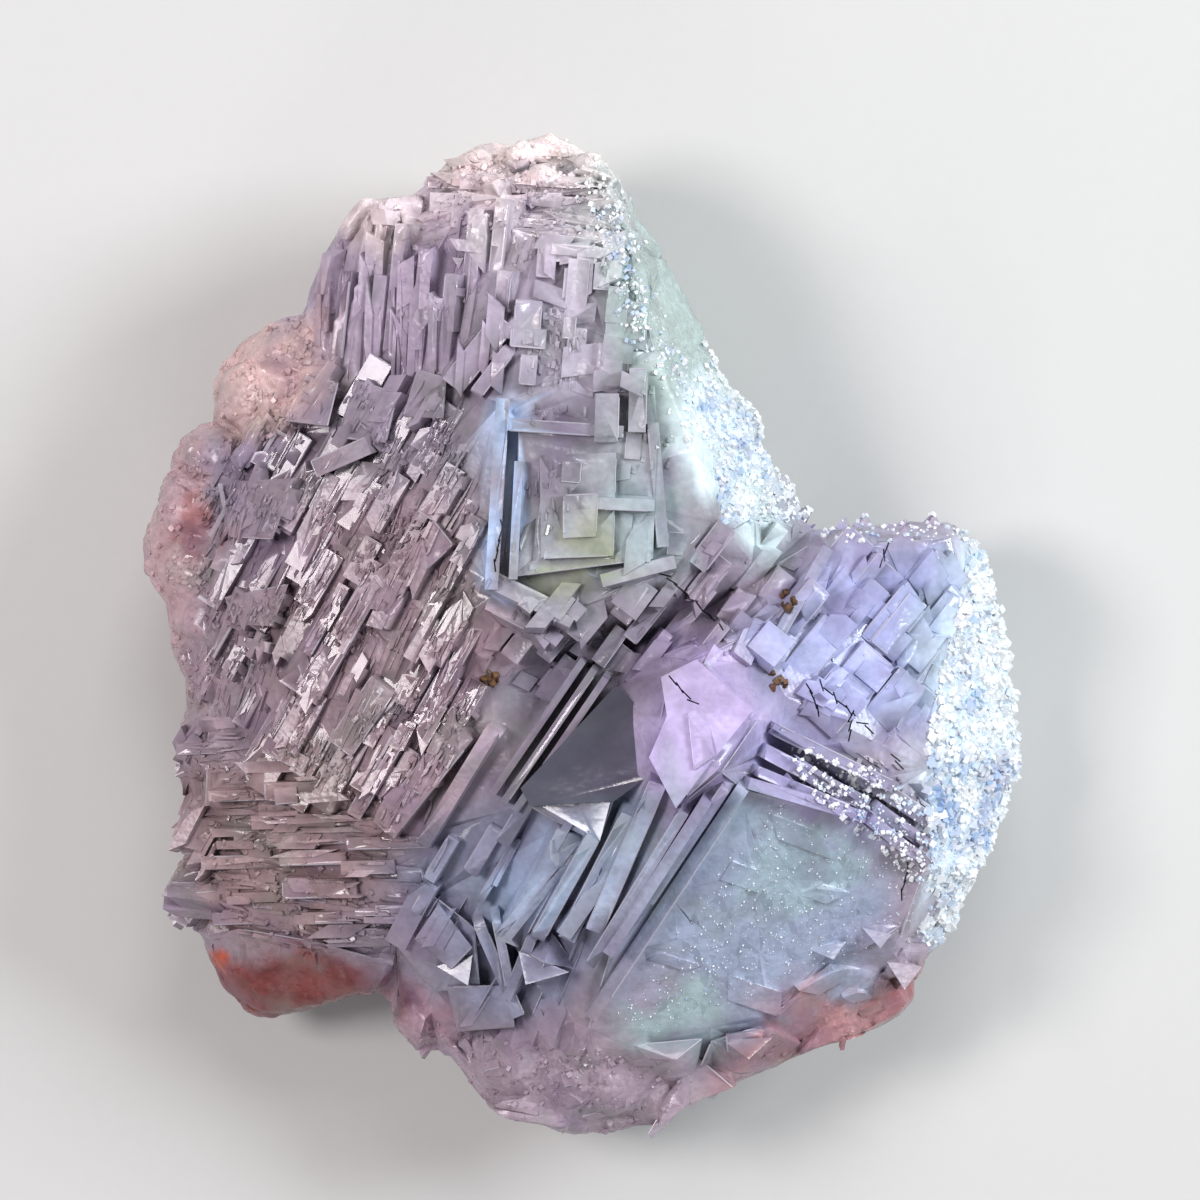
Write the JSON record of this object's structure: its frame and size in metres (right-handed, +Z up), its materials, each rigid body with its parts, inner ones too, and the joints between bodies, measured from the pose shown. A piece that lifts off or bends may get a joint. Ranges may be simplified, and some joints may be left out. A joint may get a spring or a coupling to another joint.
{
  "type": "fluorite specimen",
  "caption": "Intergrown fluorite mineral specimen with stepped cubic crystals, ridges and a smooth face, lying on its broken back as a display piece.",
  "frame": {"origin": "below the middle of the specimen's bounding box, on the surface that it lies on", "axes": "+Z up, out of the crystal face; +Y from the rounded foot to the crown, the longest way; +X to the right when looking down on the crystal face"},
  "size_m": [0.0624, 0.0706, 0.0307],
  "materials": {
    "fluorite": "translucent lilac-grey crystal, rosy and blue-white at the edges, vitreous with frosted and stepped faces"
  },
  "bodies": {
    "root": {"fluorite_specimen": "fluorite"}
  },
  "joints": []
}
